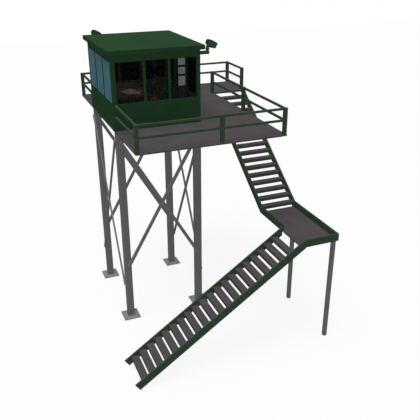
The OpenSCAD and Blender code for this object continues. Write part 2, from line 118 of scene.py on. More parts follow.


# Sprayed enamel and powder coat, dead matt. The tone drifts between two close shades over a metre or so, rain
# leaves faint upright streaks, grit and dust settle on what points up, corners are paler in broken patches,
# partly rubbed wear and partly a painted highlight along the edges, and the film has a slight orange peel.
# Where a look says so, the faces in the cabin's room are painted lighter, as painted light for the dim room,
# or what points up is painted darker, as painted shade.
def sprayedEnamel(name, look):
    material, tree = newMaterial(name)
    place = addNode(tree, "TexCoord")
    drift = addNode(tree, "TexNoise", inputs={"Vector": (place, "Object"), "Scale": 1/look["driftM"],
                                              "Detail": 4.0, "Roughness": 0.55})
    tone = addNode(tree, "ValToRGB", inputs={"Fac": (drift, "Fac")})
    tone.color_ramp.elements[0].position = 0.34
    tone.color_ramp.elements[0].color = linearOf(look["dark"])
    tone.color_ramp.elements[1].position = 0.68
    tone.color_ramp.elements[1].color = linearOf(look["light"])
    # the faces in the cabin's room take a lighter colour: painted light for the room behind the tinted glass
    if "paintedLightInside" in look:
        tone = addNode(tree, "Mix", {"data_type": "RGBA"},
                       {"Factor": (insideRoom(tree, place), 0), "A": (tone, 0),
                        "B": linearOf(look["paintedLightInside"])})
    toneOutput = "Result" if "paintedLightInside" in look else "Color"
    across = 1/look["streakM"]
    stretched = addNode(tree, "Mapping", inputs={"Vector": (place, "Object"), "Scale": (across, across, 0.9)})
    streak = addNode(tree, "TexNoise", inputs={"Vector": (stretched, 0), "Scale": 1.0, "Detail": 3.0})
    streakShare = addNode(tree, "MapRange", inputs={"Value": (streak, "Fac"), "From Min": 0.55,
                                                    "From Max": 0.80, "To Min": 0.0,
                                                    "To Max": look["streak"]})
    streaked = addNode(tree, "Mix", {"data_type": "RGBA"},
                       {"Factor": (streakShare, 0), "A": (tone, toneOutput), "B": linearOf(look["dust"])})
    facing = addNode(tree, "NewGeometry")
    upright = addNode(tree, "SeparateXYZ", inputs={"Vector": (facing, "Normal")})
    grit = addNode(tree, "TexNoise", inputs={"Vector": (place, "Object"), "Scale": 1/look["gritM"],
                                             "Detail": 5.0, "Roughness": 0.7})
    onTop = addNode(tree, "MapRange", inputs={"Value": (upright, "Z"), "From Min": 0.5, "From Max": 1.0,
                                              "To Min": 0.0, "To Max": look["settled"]})
    gritty = addNode(tree, "MapRange", inputs={"Value": (grit, "Fac"), "From Min": 0.45, "From Max": 0.75})
    dusty = addNode(tree, "Math", {"operation": "MULTIPLY"}, {0: (onTop, 0), 1: (gritty, 0)})
    dusted = addNode(tree, "Mix", {"data_type": "RGBA"},
                     {"Factor": (dusty, 0), "A": (streaked, "Result"), "B": linearOf(look["dust"])})
    # corners: paler where the rounded normal leaves the face's own, in patches; partly rubbed wear, partly a
    # painted highlight
    rounded = addNode(tree, "Bevel", {"samples": 4}, {"Radius": look["rubAndHighlightM"]})
    agree = addNode(tree, "VectorMath", {"operation": "DOT_PRODUCT"},
                    {0: (rounded, 0), 1: (facing, "Normal")})
    corner = addNode(tree, "MapRange", inputs={"Value": (agree, "Value"), "From Min": 0.97, "From Max": 0.80,
                                               "To Min": 0.0, "To Max": look["rubAndHighlight"]})
    patchy = addNode(tree, "MapRange", inputs={"Value": (drift, "Fac"), "From Min": 0.42, "From Max": 0.62})
    rubbedAndHighlit = addNode(tree, "Math", {"operation": "MULTIPLY"}, {0: (corner, 0), 1: (patchy, 0)})
    finish = addNode(tree, "Mix", {"data_type": "RGBA"},
                     {"Factor": (rubbedAndHighlit, 0), "A": (dusted, "Result"), "B": linearOf(look["rubbedAndHighlit"])})
    # painted shade: faces that point up in the object's own frame are mixed towards a dark colour
    if "paintedShadeOnTop" in look:
        ownFacing = addNode(tree, "SeparateXYZ", inputs={"Vector": (place, "Normal")})
        top = addNode(tree, "MapRange", inputs={"Value": (ownFacing, "Z"),
                                                "From Min": 0.15, "From Max": 0.5})
        finish = addNode(tree, "Mix", {"data_type": "RGBA"},
                         {"Factor": (top, 0), "A": (finish, "Result"), "B": linearOf(look["paintedShadeOnTop"])})
    rough = addNode(tree, "MapRange", inputs={"Value": (grit, "Fac"), "From Min": 0.3, "From Max": 0.7,
                                              "To Min": look["rough"] - 0.06, "To Max": look["rough"] + 0.08})
    peel = addNode(tree, "TexNoise", inputs={"Vector": (place, "Object"), "Scale": 1/look["peelM"],
                                             "Detail": 2.0})
    bump = addNode(tree, "Bump", inputs={"Height": (peel, "Fac"), "Strength": look["bump"],
                                         "Distance": look["peelM"]*0.2})
    shader = addNode(tree, "BsdfPrincipled", inputs={"Base Color": (finish, "Result"),
                                                     "Roughness": (rough, 0), "Normal": (bump, 0),
                                                     "Metallic": 0.0, "IOR": 1.5,
                                                     "Specular IOR Level": look["gloss"]})
    closeMaterial(tree, shader)
    return material


# names that end in M are sizes in metres; the others are colours, or shares from 0 to 1
enamel = {"driftM": 1.1, "streakM": 0.16, "streak": 0.05, "settled": 0.10, "gritM": 0.05, "rough": 0.55,
          "peelM": 0.012, "bump": 0.08, "rubAndHighlightM": 0.012, "rubAndHighlight": 0.35, "gloss": 0.0}
# moss green; the faces in the cabin's room are a lighter sage, painted light for the dim room behind the
# glass
mossGreen = dict(enamel, dark="#2b4830", light="#2f4e34", dust="#4d5a4b", rubbedAndHighlit="#6a7a69", paintedLightInside="#69846e")
greyGreen = dict(enamel, dust="#667064", rubbedAndHighlit="#8a9488")
aluminium = dict(greyGreen, dark="#3e5341", light="#425945", driftM=0.2, streak=0.0, rough=0.45, peelM=0.006)
steelwork = dict(enamel, dust="#98958f", rubbedAndHighlit="#aaaaaa", driftM=0.8, streakM=0.09, streak=0.10)
paints = {
    "roof": ("Roof enamel, moss green", dict(mossGreen, streak=0.0)),
    "wall": ("Wall enamel, moss green", mossGreen),
    "rail": ("Railing enamel, grey green", dict(greyGreen, dark="#3c503f", light="#405643", driftM=0.6)),
    "lamp": ("Powder coat on cast aluminium, grey green", aluminium),
    # what points up on the lamps' heads is painted darker: painted shade on top of the heads
    "head": ("Powder coat on cast aluminium, grey green, shaded on top", dict(aluminium, rubAndHighlight=0.0, paintedShadeOnTop="#222c24")),
    # one grey paint in three copies: a shade darker on the legs as painted shade, and a shade lighter  on the
    # foot plates as painted light that offsets the deck's shadow on them
    "leg": ("Two-pack paint on hollow section, light grey", dict(steelwork, dark="#77777a", light="#7f7f81")),
    "bar": ("Two-pack paint on flat bar, light grey", dict(steelwork, dark="#7c7c7e", light="#848486")),
    "foot": ("Two-pack paint on plate, light grey", dict(steelwork, dark="#868688", light="#8e8e90",
                                                         streak=0.0)),
    "deck": ("Gritted deck paint, warm grey", dict(enamel, dark="#504c4f", light="#565255", dust="#6a6663",
                                                   rubbedAndHighlit="#7f7c7c", driftM=0.9, rough=0.8, bump=0.45,
                                                   peelM=0.009, streak=0.0)),
}
paint = {key: sprayedEnamel(*value) for key, value in paints.items()}
print("enamels made:", len(paint))


# Float glass, grey or nearly black through its thickness, with the weak mirror of an anti-glare coat and a
# faint film of dust that dulls it in cloudy patches. With no clear share it lies under an opaque blue film.
def tintedGlass(name, look):
    material, tree = newMaterial(name)
    place = addNode(tree, "TexCoord")
    film = addNode(tree, "TexNoise", inputs={"Vector": (place, "Object"), "Scale": look["cloudsPerM"],
                                             "Detail": 5.0})
    rough = addNode(tree, "MapRange", inputs={"Value": (film, "Fac"), "From Min": 0.35, "From Max": 0.75,
                                              "To Min": 0.01, "To Max": look["filmRough"]})
    shade = addNode(tree, "ValToRGB", inputs={"Fac": (film, "Fac")})
    shade.color_ramp.elements[0].position = 0.35
    shade.color_ramp.elements[0].color = linearOf(look["dark"])
    shade.color_ramp.elements[1].position = 0.70
    shade.color_ramp.elements[1].color = linearOf(look["light"])
    shader = addNode(tree, "BsdfPrincipled", inputs={"Base Color": (shade, 0), "Roughness": (rough, 0),
                                                     "Transmission Weight": look["clear"],
                                                     "IOR": look["bend"],
                                                     "Specular IOR Level": look["gloss"]})
    closeMaterial(tree, shader)
    return material


# bend is the index of refraction: near 1, a pane hardly mirrors, or shifts what is seen through it
pane = {"cloudsPerM": 2.4, "filmRough": 0.03, "clear": 1.0, "bend": 1.05, "gloss": 0.5}
glass = {
    "front": tintedGlass("Grey anti-glare glass", dict(pane, dark="#555656", light="#5b5c5c")),
    "left": tintedGlass("Blue-grey film on float glass", dict(pane, dark="#48737e", light="#54828c",
                                                              filmRough=0.12, clear=0.0, gloss=0.02)),
    "dark": tintedGlass("Dark grey anti-glare glass", dict(pane, dark="#1c1d1d", light="#202121", bend=1.45)),
}


# Stained beech under satin varnish: rings drawn out along the grain, with fine pore flecks.
def stainedBeech(name, look):
    material, tree = newMaterial(name)
    place = addNode(tree, "TexCoord")
    along = addNode(tree, "Mapping", inputs={"Vector": (place, "Object"), "Scale": look["stretch"]})
    rings = addNode(tree, "TexNoise", inputs={"Vector": (along, 0), "Scale": look["rings"], "Detail": 4.0,
                                              "Distortion": 0.6})
    grain = addNode(tree, "TexNoise", inputs={"Vector": (along, 0), "Scale": look["grain"], "Detail": 6.0,
                                              "Roughness": 0.65})
    blend = addNode(tree, "Math", {"operation": "MULTIPLY_ADD"},
                    {0: (rings, "Fac"), 1: look["ringShare"], 2: (grain, "Fac")})
    tone = addNode(tree, "ValToRGB", inputs={"Fac": (blend, 0)})
    tone.color_ramp.elements[0].position = 0.55
    tone.color_ramp.elements[0].color = linearOf(look["dark"])
    tone.color_ramp.elements[1].position = 1.0
    tone.color_ramp.elements[1].color = linearOf(look["light"])
    bump = addNode(tree, "Bump", inputs={"Height": (grain, "Fac"), "Strength": 0.15, "Distance": 0.002})
    shader = addNode(tree, "BsdfPrincipled", inputs={"Base Color": (tone, 0), "Roughness": 0.45,
                                                     "Normal": (bump, 0), "IOR": 1.5,
                                                     "Specular IOR Level": 0.2})
    closeMaterial(tree, shader)
    return material


# stretch times rings, or times grain, is how many of them lie in a metre along each axis
beech = {"rings": 2.0, "grain": 14.0, "ringShare": 0.6}
wood = {
    "table": stainedBeech("Stained beech, table", dict(beech, dark="#7b6656", light="#9b826e",
                                                       stretch=(9.0, 0.9, 9.0))),
    "chair": stainedBeech("Stained beech, chair", dict(beech, dark="#7d5d4b", light="#a17a63",
                                                       stretch=(7.0, 7.0, 1.0))),
}


# Uncoated writing paper: matte, with a faint mottle of fibres.
def writingPaper(name, look):
    material, tree = newMaterial(name)
    place = addNode(tree, "TexCoord")
    fibre = addNode(tree, "TexNoise", inputs={"Vector": (place, "Object"), "Scale": look["fibresPerM"],
                                              "Detail": 6.0})
    tone = addNode(tree, "ValToRGB", inputs={"Fac": (fibre, "Fac")})
    tone.color_ramp.elements[0].color = linearOf(look["dark"])
    tone.color_ramp.elements[1].color = linearOf(look["light"])
    shader = addNode(tree, "BsdfPrincipled", inputs={"Base Color": (tone, 0), "Roughness": 0.9, "IOR": 1.5})
    closeMaterial(tree, shader)
    return material


paper = writingPaper("Uncoated paper", {"dark": "#dcdad2", "light": "#f4f2ea", "fibresPerM": 60.0})


# Toughened lamp glass, pressed with fine ribs: warm white, and a little of the reflector shows through.
def ribbedGlass(name, look):
    material, tree = newMaterial(name)
    place = addNode(tree, "TexCoord")
    ribs = addNode(tree, "TexWave", {"bands_direction": "Y"},
                   {"Vector": (place, "Object"), "Scale": look["ribs"]})
    bump = addNode(tree, "Bump", inputs={"Height": (ribs, "Fac"), "Strength": 0.4, "Distance": 0.004})
    tone = addNode(tree, "ValToRGB", inputs={"Fac": (ribs, "Fac")})
    tone.color_ramp.elements[0].color = linearOf(look["dark"])
    tone.color_ramp.elements[1].color = linearOf(look["light"])
    shader = addNode(tree, "BsdfPrincipled", inputs={"Base Color": (tone, 0), "Roughness": 0.25,
                                                     "Normal": (bump, 0), "IOR": 1.5,
                                                     "Transmission Weight": 0.25})
    closeMaterial(tree, shader)
    return material


# ribs is the pattern's scale: a rib is 0.314 m/ribs wide, here 22 mm
lensGlass = ribbedGlass("Ribbed lamp glass, warm white", {"dark": "#c9bd9a", "light": "#efe6c8",
                                                          "ribs": 14.0})


# Small fittings: a plain finish with a fine mottle, for zinc-plated bolts, rubber, nylon and lacquered cedar.
def smallFitting(name, look):
    material, tree = newMaterial(name)
    place = addNode(tree, "TexCoord")
    mottle = addNode(tree, "TexNoise", inputs={"Vector": (place, "Object"), "Scale": 1/look["mottleM"],
                                               "Detail": 4.0})
    tone = addNode(tree, "ValToRGB", inputs={"Fac": (mottle, "Fac")})
    tone.color_ramp.elements[0].position = 0.3
    tone.color_ramp.elements[0].color = linearOf(look["dark"])
    tone.color_ramp.elements[1].position = 0.7
    tone.color_ramp.elements[1].color = linearOf(look["light"])
    shader = addNode(tree, "BsdfPrincipled", inputs={"Base Color": (tone, 0), "Roughness": look["rough"],
                                                     "Metallic": look["metal"],
                                                     "Specular IOR Level": look["gloss"]})
    closeMaterial(tree, shader)
    return material


fitting = {
    "bolt": smallFitting("Zinc-plated steel, dull", {"dark": "#6e6f70", "light": "#8b8c8d", "mottleM": 0.006,
                                                     "rough": 0.42, "metal": 0.85, "gloss": 0.5}),
    "rubber": smallFitting("Glazing rubber, black", {"dark": "#101211", "light": "#1b1d1c", "mottleM": 0.02,
                                                     "rough": 0.75, "metal": 0.0, "gloss": 0.0}),
    "ochre": smallFitting("Lacquered cedar, ochre", {"dark": "#a8862c", "light": "#c09a36", "mottleM": 0.01,
                                                     "rough": 0.4, "metal": 0.0, "gloss": 0.2}),
    "nylon": smallFitting("Moulded nylon, ivory", {"dark": "#d8c6a0", "light": "#e6d6b4", "mottleM": 0.01,
                                                   "rough": 0.5, "metal": 0.0, "gloss": 0.2}),
}

finishes = {  # by a node's whole name
    "roof": paint["roof"], "landing_posts": paint["leg"], "foot_plates": paint["foot"],
    "deck_beams": paint["leg"], "deck_plate": paint["deck"], "stair_head_plate": paint["deck"],
    "landing_plate": paint["deck"],
    "upper_treads": paint["deck"], "lower_treads": paint["deck"],
    "upper_stringers": paint["rail"], "lower_stringers": paint["rail"], "landing_curbs": paint["rail"],
    "table_top": wood["table"], "table_legs": wood["table"], "papers": paper, "lamp_brackets": paint["lamp"],
    "glass_front": glass["front"], "glass_left": glass["left"], "glass_back": glass["dark"],
    "glass_right": glass["dark"],
}
families = {  # by the start of a node's name
    "leg_": paint["leg"], "brace_": paint["bar"], "rail_": paint["rail"], "chair_": wood["chair"],
    "lamp_head": paint["head"], "lamp_lens": lensGlass,
}


def finishOf(name):
    if name in finishes:
        return finishes[name]
    for start, material in families.items():
        if name.startswith(start):
            return material
    return paint["wall"]


for name, piece in nodes.items():
    for place in piece.material_slots:
        place.material = finishOf(name)
print("nodes finished:", len(nodes))


# Quads of a grid of points whose columns close into a ring, for each copy of the grid.
def gridFaces(copies, rows, columns, rowsClose):
    row, column = np.meshgrid(np.arange(rows if rowsClose else rows - 1), np.arange(columns), indexing="ij")
    above, beside = (row + 1) % rows, (column + 1) % columns
    corners = ((row, column), (row, beside), (above, beside), (above, column))
    quads = np.stack([a*columns + b for a, b in corners], -1).reshape(-1, 4)
    return (quads + np.arange(copies)[:, None, None]*rows*columns).reshape(-1, 4)


# Copies of a tube of points (copy, row, column), closed by a flat face at each end.
def closedTubes(points):
    copies, rows, columns = points.shape[:3]
    first, ring = np.arange(copies)[:, None]*rows*columns, np.arange(columns)
    caps = np.concatenate([first + ring[::-1], first + (rows - 1)*columns + ring])
    return points.reshape(-1, 3), [gridFaces(copies, rows, columns, False), caps]


# A profile of (radius, height) points turned about an axis at each centre:
# point = centre + axis*height + radius*(side*cos(angle) + other*sin(angle)).
def turned(profile, centres, axes, sides):
    radius, height = np.array(profile, float).T
    centres = np.array(centres, float).reshape(-1, 3)
    axes = np.broadcast_to(np.array(axes, float), centres.shape)
    unit = axes/np.linalg.norm(axes, axis=1, keepdims=True)
    side = np.cross(np.where(np.abs(unit[:, 2:]) > 0.9, (1.0, 0.0, 0.0), (0.0, 0.0, 1.0)), unit)
    side = side/np.linalg.norm(side, axis=1, keepdims=True)
    other = np.cross(unit, side)
    angle = np.arange(sides)*2*math.pi/sides
    ring = side[:, None]*np.cos(angle)[:, None] + other[:, None]*np.sin(angle)[:, None]
    return closedTubes(centres[:, None, None] + axes[:, None, None]*height[:, None, None]
                       + ring[:, None]*radius[:, None, None])


# A flat outline of (x, y) points made a plate at each place:
# point = place + across*x + over*y + through*(half the thickness, either way), through = across x over.
def plates(outline, places, across, over, thick):
    flat = np.array(outline)[:, :1]*across + np.array(outline)[:, 1:]*over
    sides = np.array([-thick/2, thick/2])[:, None, None]*np.cross(across, over)
    return closedTubes(np.array(places).reshape(-1, 1, 1, 3) + sides + flat)


# A closed section of (outward, forward) points carried round a rectangle with mitred corners:
# point = centre + across*sign*(halfWide + outward) + along*sign*(halfHigh + outward) + ahead*forward,
# ahead = across x along.
def framed(centre, across, along, halfWide, halfHigh, section):
    signs = np.array([(1, 1), (-1, 1), (-1, -1), (1, -1)])
    outward, forward = np.array(section, float).T[..., None, None]
    flat = signs*((halfWide, halfHigh) + outward)
    points = centre + flat[..., :1]*across + flat[..., 1:]*along + forward*np.cross(across, along)
    return points.reshape(-1, 3), [gridFaces(1, len(section), len(signs), True)]


# several shapes as one: the faces of each count on from the points before it
def joined(shapes):
    starts = np.cumsum([0] + [len(points) for points, blocks in shapes])
    allPoints = np.concatenate([points for points, blocks in shapes])
    return allPoints, [block + start for start, (points, blocks) in zip(starts, shapes) for block in blocks]


def addPiece(name, shape, material, body, creaseDeg=40.0):
    points, blocks = shape
    mesh = bpy.data.meshes.new(name)
    mesh.from_pydata(points.tolist(), [], [face for block in blocks for face in block.tolist()])
    mesh.materials.append(material)
    mesh.polygons.foreach_set("use_smooth", np.ones(len(mesh.polygons), dtype=bool))
    mesh.set_sharp_from_angle(angle=math.radians(creaseDeg))
    piece = bpy.data.objects.new(name, mesh)
    bpy.context.scene.collection.objects.link(piece)
    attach(piece, body)
    return piece


# The low and high corners of a node's separate solids: each triangle hands the lowest label among its corners
# on to the others until none changes.
def solidsOf(name):
    mesh = nodes[name].data
    points = np.empty(len(mesh.vertices)*3, np.float32)
    mesh.vertices.foreach_get("co", points)
    points = points.reshape(-1, 3)
    same = np.unique(points.round(4), axis=0, return_inverse=True)[1].ravel()
    corners = np.empty(len(mesh.loops), np.int32)
    mesh.loops.foreach_get("vertex_index", corners)
    triangles = same[corners].reshape(-1, 3)
    label = np.arange(same.max() + 1)
    settled = False
    while not settled:
        handed = label.copy()
        np.minimum.at(handed, triangles.ravel(), np.repeat(label[triangles].min(1), 3))
        settled = bool((handed == label).all())
        label = handed
    group = label[same]
    return [(points[group == g].min(0), points[group == g].max(0)) for g in np.unique(group)]


# Softened copies stand for the plain solids: rolled steel, folded sheet and planed wood have no knife edges.
# The loose triangles are merged, flat faces joined, and every outward corner over the shortest is rounded.

softening = {"mergeM": 2e-5, "flatDeg": 0.5, "sharperThanDeg": 40.0, "segments": 2, "creaseDeg": 50.0}
softened = {  # start of the nodes' names: radius of the edge and shortest edge that gets it, in metres
    "roof": (0.012, 0.05), "leg_": (0.012, 1.0), "landing_posts": (0.010, 0.05), "brace_": (0.005, 0.04),
    "foot_plates": (0.005, 0.03), "deck_beams": (0.005, 0.05), "deck_plate": (0.004, 0.04),
    "stair_head_plate": (0.004, 0.04), "landing_plate": (0.004, 0.04), "landing_curbs": (0.005, 0.05),
    "upper_stringers": (0.004, 0.05), "lower_stringers": (0.004, 0.05), "upper_treads": (0.004, 0.02),
    "lower_treads": (0.004, 0.02), "rail_": (0.006, 0.1), "cabin_posts": (0.004, 0.1),
    "window_mullions": (0.003, 0.1), "headers_": (0.003, 0.1), "front_wall": (0.003, 0.1),
    "left_wall": (0.003, 0.1), "back_wall": (0.003, 0.1), "right_wall": (0.003, 0.1),
    "table_top": (0.008, 0.04), "table_legs": (0.006, 0.05), "chair_posts": (0.008, 0.04),
    "chair_seat": (0.010, 0.03), "chair_slats": (0.004, 0.015), "lamp_head": (0.006, 0.08),
    "lamp_brackets": (0.004, 0.05),
}


def softenedCopy(name, radius, shortest):
    shell = bmesh.new()
    shell.from_mesh(nodes[name].data)
    bmesh.ops.remove_doubles(shell, verts=shell.verts[:], dist=softening["mergeM"])
    bmesh.ops.dissolve_limit(shell, angle_limit=math.radians(softening["flatDeg"]), verts=shell.verts[:],
                             edges=shell.edges[:])
    sharp = math.radians(softening["sharperThanDeg"])
    outer = [edge for edge in shell.edges if edge.is_manifold and edge.is_convex
             and edge.calc_face_angle() > sharp and edge.calc_length() > shortest]
    bmesh.ops.bevel(shell, geom=outer, offset=radius, offset_type="OFFSET", segments=softening["segments"],
                    profile=0.5, affect="EDGES", clamp_overlap=True)
    mesh = bpy.data.meshes.new(name + "_softened")
    shell.to_mesh(mesh)
    shell.free()
    mesh.materials.append(finishOf(name))
    mesh.polygons.foreach_set("use_smooth", np.ones(len(mesh.polygons), dtype=bool))
    mesh.set_sharp_from_angle(angle=math.radians(softening["creaseDeg"]))
    piece = bpy.data.objects.new(name + "_softened", mesh)
    bpy.context.scene.collection.objects.link(piece)
    even = piece.modifiers.new("even shading", "WEIGHTED_NORMAL")
    even.keep_sharp = True
    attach(piece, nodes[name]["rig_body"])
    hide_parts(name)


softenings = [(name, *sizes) for name in nodes for start, sizes in softened.items() if name.startswith(start)]
for name, radius, shortest in softenings:
    softenedCopy(name, radius, shortest)
print("nodes softened:", len(softenings))


# Ground anchors: a washer, a hexagon nut and the stud's bevelled end near each corner of a foot plate.

anchor = {"fromLeg": 0.221, "across": 0.052, "washer": 0.034, "washerTop": 0.004, "nutTop": 0.028,
          "stud": 0.013, "studTop": 0.052}
legBoxes = [boxOf(name) for name in nodes if name.startswith("leg_")]
legMiddles = np.array([(low + high)/2 for low, high in legBoxes])
legFirst, legLast = legMiddles.min(0), legMiddles.max(0)
plateTop = boxOf("foot_plates")[1][2]
upward = np.array((0.0, 0.0, 1.0))


def anchorBolts():
    corners = np.array([(a, b, 0) for a in (-1, 1) for b in (-1, 1)])*anchor["fromLeg"]
    places = (legMiddles[:, None]*(1, 1, 0) + corners).reshape(-1, 3) + upward*plateTop
    washer, nut, stud = anchor["washer"], anchor["across"]/2, anchor["stud"]
    low, high, tip = anchor["washerTop"], anchor["nutTop"], anchor["studTop"]
    washerProfile = [(washer, -0.001), (washer, low - 0.001), (washer - 0.001, low)]
    nutProfile = [(nut*0.92, low - 0.001), (nut, low + 0.003), (nut, high - 0.003), (nut*0.9, high)]
    studProfile = [(stud, low), (stud, tip - 0.003), (stud*0.75, tip)]
    return joined([turned(washerProfile, places, upward, 20), turned(nutProfile, places, upward, 6),
                   turned(studProfile, places, upward, 14)])


addPiece("anchor_bolts", anchorBolts(), fitting["bolt"], "tower")


# Weld beads: ripples along a round bead half buried in the corner that it fills, thinned towards its ends:
# radius = bead radius*thinning*(1 + 0.13*sin(2*pi*ripples*share of the way along)).
def beadProfile(radius, ripples, stepsPerRipple):
    along = np.linspace(0, 1, ripples*stepsPerRipple)
    thinned = np.clip(np.minimum(along, 1 - along)*ripples*0.8, 0.25, 1)
    return np.stack([radius*thinned*(1 + 0.13*np.sin(2*math.pi*ripples*along)), along], -1)


weld = {"legRadius": 0.009, "legRipples": 22, "crossRadius": 0.006, "crossRipples": 14, "stepsPerRipple": 4,
        "sunk": 0.002, "sides": 8, "creaseDeg": 80.0}


def footWelds():
    starts, ends = [], []
    for low, high in legBoxes:
        ring = np.array([(low[0], low[1]), (high[0], low[1]), (high[0], high[1]), (low[0], high[1])])
        starts.append(np.column_stack([ring, np.full(4, plateTop)]))
        ends.append(np.roll(starts[-1], -1, axis=0))
    starts, ends = np.concatenate(starts), np.concatenate(ends)
    profile = beadProfile(weld["legRadius"], weld["legRipples"], weld["stepsPerRipple"])
    return turned(profile, starts, ends - starts, weld["sides"])


addPiece("foot_welds", footWelds(), paint["leg"], "tower", weld["creaseDeg"])


# Bracing: two hexagon bolts through each end, and a bead on both faces along the sides of the bar that runs
# whole through the crossing. The bars lean by asin((box width - span)/bar width).

brace = {"wide": 0.126, "boltsFromEnd": (0.045, 0.165), "across": 0.042, "headTop": 0.018, "washer": 0.026,
         "washerTop": 0.003}


def braceFittings(name):  # bolts' places and directions, beads' starts and runs
    low, high = boxOf(name)
    size, middle = high - low, (low + high)/2
    flat = int(np.argmin(size))
    run = 1 - flat
    out = np.eye(3)[flat]*(1 if low[flat] > legLast[flat] else -1)
    half, middle[run] = (legLast[run] - legFirst[run])/2, (legFirst[run] + legLast[run])/2
    lean = math.asin((size[run] - 2*half)/brace["wide"])
    rise = size[2]/2 - brace["wide"]/2*math.cos(lean)
    length = math.hypot(half, rise)
    cutLow, cutHigh = min(solidsOf(name), key=lambda solid: solid[1][2] - solid[0][2])
    offset = (cutLow + cutHigh)/2 - middle
    side = np.eye(3)[run]*(-1 if offset[run]*offset[2] > 0 else 1)  # the way in which the whole bar rises
    whole, cut = (side*half + upward*rise)/length, (-side*half + upward*rise)/length
    outer = middle + out*size[flat]/2
    bolts = [outer + bar*end*(length - inset)
             for bar in (whole, cut) for end in (1, -1) for inset in brace["boltsFromEnd"]]
    square = np.cross(out, whole)
    reach = brace["wide"]/2/np.dot(cut, square)
    seam = abs(reach)
    faces = (outer - out*weld["sunk"], outer - out*(size[flat] - weld["sunk"]))
    toSide = square*brace["wide"]/2 + whole*reach*np.dot(cut, whole)
    starts = [face + edge*toSide - whole*seam for face in faces for edge in (1, -1)]
    return bolts, [out]*len(bolts), starts, [whole*2*seam]*len(starts)


def braceSet():
    fittings = [braceFittings(name) for name in nodes if name.startswith("brace_")]
    boltPlaces, boltAxes, seamStarts, seamRuns = [np.concatenate(kind) for kind in zip(*fittings)]
    head, low, high = brace["across"]/2, brace["washerTop"], brace["headTop"]
    washers = turned([(brace["washer"], -0.001), (brace["washer"], low)], boltPlaces, boltAxes, 18)
    heads = turned([(head, low - 0.001), (head, high - 0.004), (head*0.86, high)], boltPlaces, boltAxes, 6)
    profile = beadProfile(weld["crossRadius"], weld["crossRipples"], weld["stepsPerRipple"])
    return joined([washers, heads]), turned(profile, seamStarts, seamRuns, weld["sides"])


boltSet, seamSet = braceSet()  # painted over with the bars
addPiece("brace_bolts", boltSet, paint["bar"], "tower")
addPiece("brace_welds", seamSet, paint["bar"], "tower", weld["creaseDeg"])
print("steelwork fittings made")


# Stairs: button-head bolts through the stringers into both ends of every tread.

treadBolt = {"apart": 0.075, "radius": 0.013, "high": 0.009}


def treadBolts(treads, stringers):
    low, high = boxOf(stringers)
    boxes = solidsOf(treads)
    middles = np.array([(a + b)/2 for a, b in boxes])
    long = int(np.argmax(boxes[0][1] - boxes[0][0]))
    side, going = np.eye(3)[long], np.eye(3)[1 - long]
    places = np.concatenate([middles + going*apart for apart in (-treadBolt["apart"], treadBolt["apart"])])
    lowEnd, highEnd = places.copy(), places.copy()
    lowEnd[:, long], highEnd[:, long] = low[long], high[long]
    r, h = treadBolt["radius"], treadBolt["high"]
    profile = [(r, -0.001), (r, h*0.25), (r*0.85, h*0.7), (r*0.45, h)]
    return joined([turned(profile, lowEnd, -side, 10), turned(profile, highEnd, side, 10)])


for flight in ("lower", "upper"):  # painted over with the stringers
    addPiece(flight + "_tread_bolts", treadBolts(flight + "_treads", flight + "_stringers"), paint["rail"],
             "tower")


# Glazing rubber: a rounded bead in the corner between every pane and its frame, inside and outside.

gasket = {"wide": 0.012, "proud": 0.008}


def glazingRubber(glassName):
    wide, proud = gasket["wide"], gasket["proud"]
    section = [(-wide, -0.0005), (0.001, -0.0005), (0.001, proud), (-wide*0.5, proud),
               (-wide*0.92, proud*0.55)]
    rings = []
    for low, high in solidsOf(glassName):
        size, middle = high - low, (low + high)/2
        flat = int(np.argmin(size))
        run = 1 - flat
        for way in (1, -1):
            out, side = np.eye(3)[flat]*way, np.eye(3)[run]*(way if flat == 0 else -way)
            rings.append(framed(middle + out*size[flat]/2, side, upward, size[run]/2, size[2]/2, section))
    return joined(rings)


for side in ("front", "left", "back", "right"):
    addPiece("rubber_" + side, glazingRubber("glass_" + side), fitting["rubber"], "tower")


# Roof trim: a fascia all round the roof's edge, with a low kerb on top and a drip edge that hangs under it.

trim = {"down": 0.132, "inward": 0.035, "thick": 0.012, "fold": 0.003, "sunk": 0.001}


def roofTrim():
    low, high = boxOf("roof")
    down, inward, t, fold, sunk = (trim[key] for key in ("down", "inward", "thick", "fold", "sunk"))
    section = [(0, -down), (t - fold, -down), (t, fold - down), (t, t - fold), (t - fold, t), (-inward, t),
               (-inward, -sunk), (-sunk, -sunk)]
    half, middle = (high - low)/2, (low + high)/2
    middle[2] = high[2]
    return framed(middle, np.eye(3)[0], np.eye(3)[1], half[0], half[1], section)


addPiece("roof_trim", roofTrim(), paint["roof"], "tower")
print("cabin trim made")


# Floodlights: a bezel with four screws round the lens, cooling fins on the housing, hexagon heads on the
# pivot pin and an ivory cable gland on the neck below. The head's own directions (ahead, side, over) droop
# with it.

lamp = {"droopDeg": 26.0, "bezelWide": 0.022, "bezelHigh": 0.006, "bezelLip": 0.003, "screw": 0.0055,
        "fins": 7, "finApart": 0.030, "finThick": 0.004, "finHigh": 0.012, "finFrom": 0.065, "finLong": 0.170,
        "pinAcross": 0.034, "pinHigh": 0.010, "pinOut": 0.068, "gland": 0.019, "glandLong": 0.028,
        "glandAt": (0.024, -0.048, -0.091)}  # from the pivot
droop = math.radians(lamp["droopDeg"])
headAxes = np.array([(math.cos(droop), 0, -math.sin(droop)), (0, 1, 0),
                     (math.sin(droop), 0, math.cos(droop))])
pivots = {joint["child"]: np.array(joint["pos_m"]) for joint in frame["joints"]}


def headBox(name, pivot):  # low and high corners in the head's own directions, from its pivot
    mesh = nodes[name].data
    points = np.empty(len(mesh.vertices)*3, np.float32)
    mesh.vertices.foreach_get("co", points)
    local = (points.reshape(-1, 3) - pivot) @ headAxes.T
    return local.min(0), local.max(0)


